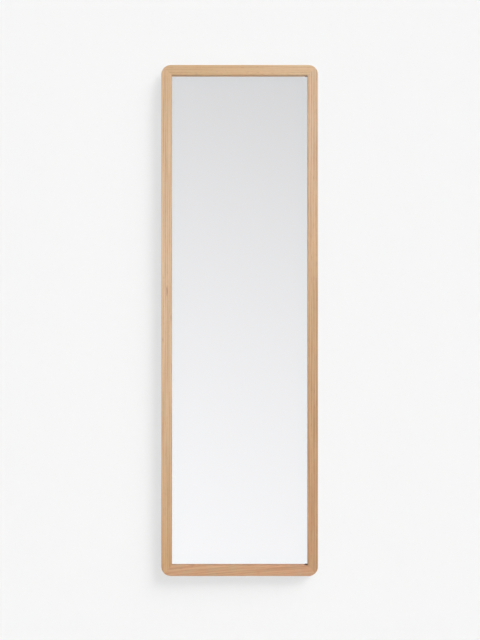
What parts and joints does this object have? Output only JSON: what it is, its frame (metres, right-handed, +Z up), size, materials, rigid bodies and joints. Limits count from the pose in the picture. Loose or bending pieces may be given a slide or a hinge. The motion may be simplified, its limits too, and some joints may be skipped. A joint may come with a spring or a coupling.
{
  "type": "full-length wall mirror",
  "caption": "Tall plain mirror in a slim mitred light-oak frame with rounded outer corners; a backing board held by turn buttons, and strap hangers with swinging rings.",
  "frame": {"origin": "on the wall plane, midway between the points where the two raised hanger rings bear on their wall hooks", "axes": "+Z up along the mirror's length, +Y into the wall, -Y the way the glass looks, +X to the right of a person looking into the glass"},
  "size_m": [0.46, 0.028, 1.5],
  "materials": {
    "light_oak": "satin",
    "beech": "matte",
    "silvered_glass": "polished",
    "clear_film": "satin",
    "foam_tape": "matte",
    "fibreboard": "matte",
    "zinc_steel": "satin",
    "black_rubber": "matte"
  },
  "bodies": {
    "frame": {"left_stile": "light_oak", "right_stile": "light_oak", "top_rail": "light_oak", "bottom_rail": "light_oak", "corner_tongue_top_left": "beech", "corner_tongue_top_right": "beech", "corner_tongue_bottom_left": "beech", "corner_tongue_bottom_right": "beech", "mirror_glass": "silvered_glass", "safety_film": "clear_film", "foam_tape_1": "foam_tape", "foam_tape_2": "foam_tape", "foam_tape_3": "foam_tape", "foam_tape_4": "foam_tape", "backing_board": "fibreboard", "setting_block_left": "black_rubber", "setting_block_right": "black_rubber", "button_screw_left_low": "zinc_steel", "button_screw_right_low": "zinc_steel", "button_screw_left_middle": "zinc_steel", "button_screw_right_middle": "zinc_steel", "button_screw_left_high": "zinc_steel", "button_screw_right_high": "zinc_steel", "button_screw_bottom": "zinc_steel", "button_screw_top": "zinc_steel", "hanger_strap_left": "zinc_steel", "hanger_strap_right": "zinc_steel", "hanger_screw_left_upper": "zinc_steel", "hanger_screw_left_lower": "zinc_steel", "hanger_screw_right_upper": "zinc_steel", "hanger_screw_right_lower": "zinc_steel", "wall_bumper_top_left": "black_rubber", "wall_bumper_top_right": "black_rubber", "wall_bumper_bottom_left": "black_rubber", "wall_bumper_bottom_right": "black_rubber"},
    "turn_button_left_low": {"turn_button_left_low": "zinc_steel"},
    "turn_button_right_low": {"turn_button_right_low": "zinc_steel"},
    "turn_button_left_middle": {"turn_button_left_middle": "zinc_steel"},
    "turn_button_right_middle": {"turn_button_right_middle": "zinc_steel"},
    "turn_button_left_high": {"turn_button_left_high": "zinc_steel"},
    "turn_button_right_high": {"turn_button_right_high": "zinc_steel"},
    "turn_button_bottom": {"turn_button_bottom": "zinc_steel"},
    "turn_button_top": {"turn_button_top": "zinc_steel"},
    "hanger_ring_left": {"hanger_ring_left": "zinc_steel"},
    "hanger_ring_right": {"hanger_ring_right": "zinc_steel"}
  },
  "joints": [
    {"name": "turn_button_left_low_turn", "type": "hinge", "parent": "frame", "child": "turn_button_left_low", "pos_m": [-0.218, -0.00525, -1.17], "axis": [0, 1, 0], "continuous": true},
    {"name": "turn_button_right_low_turn", "type": "hinge", "parent": "frame", "child": "turn_button_right_low", "pos_m": [0.218, -0.00525, -1.17], "axis": [0, 1, 0], "continuous": true},
    {"name": "turn_button_left_middle_turn", "type": "hinge", "parent": "frame", "child": "turn_button_left_middle", "pos_m": [-0.218, -0.00525, -0.55], "axis": [0, 1, 0], "continuous": true},
    {"name": "turn_button_right_middle_turn", "type": "hinge", "parent": "frame", "child": "turn_button_right_middle", "pos_m": [0.218, -0.00525, -0.55], "axis": [0, 1, 0], "continuous": true},
    {"name": "turn_button_left_high_turn", "type": "hinge", "parent": "frame", "child": "turn_button_left_high", "pos_m": [-0.218, -0.00525, 0.07], "axis": [0, 1, 0], "continuous": true},
    {"name": "turn_button_right_high_turn", "type": "hinge", "parent": "frame", "child": "turn_button_right_high", "pos_m": [0.218, -0.00525, 0.07], "axis": [0, 1, 0], "continuous": true},
    {"name": "turn_button_bottom_turn", "type": "hinge", "parent": "frame", "child": "turn_button_bottom", "pos_m": [0, -0.00525, -1.288], "axis": [0, 1, 0], "continuous": true},
    {"name": "turn_button_top_turn", "type": "hinge", "parent": "frame", "child": "turn_button_top", "pos_m": [0, -0.00525, 0.188], "axis": [0, 1, 0], "continuous": true},
    {"name": "hanger_ring_left_swing", "type": "hinge", "parent": "frame", "child": "hanger_ring_left", "pos_m": [-0.218, -0.00325, -0.01325], "axis": [-1, 0, 0], "range_deg": [0, 185]},
    {"name": "hanger_ring_right_swing", "type": "hinge", "parent": "frame", "child": "hanger_ring_right", "pos_m": [0.218, -0.00325, -0.01325], "axis": [-1, 0, 0], "range_deg": [0, 185]}
  ]
}
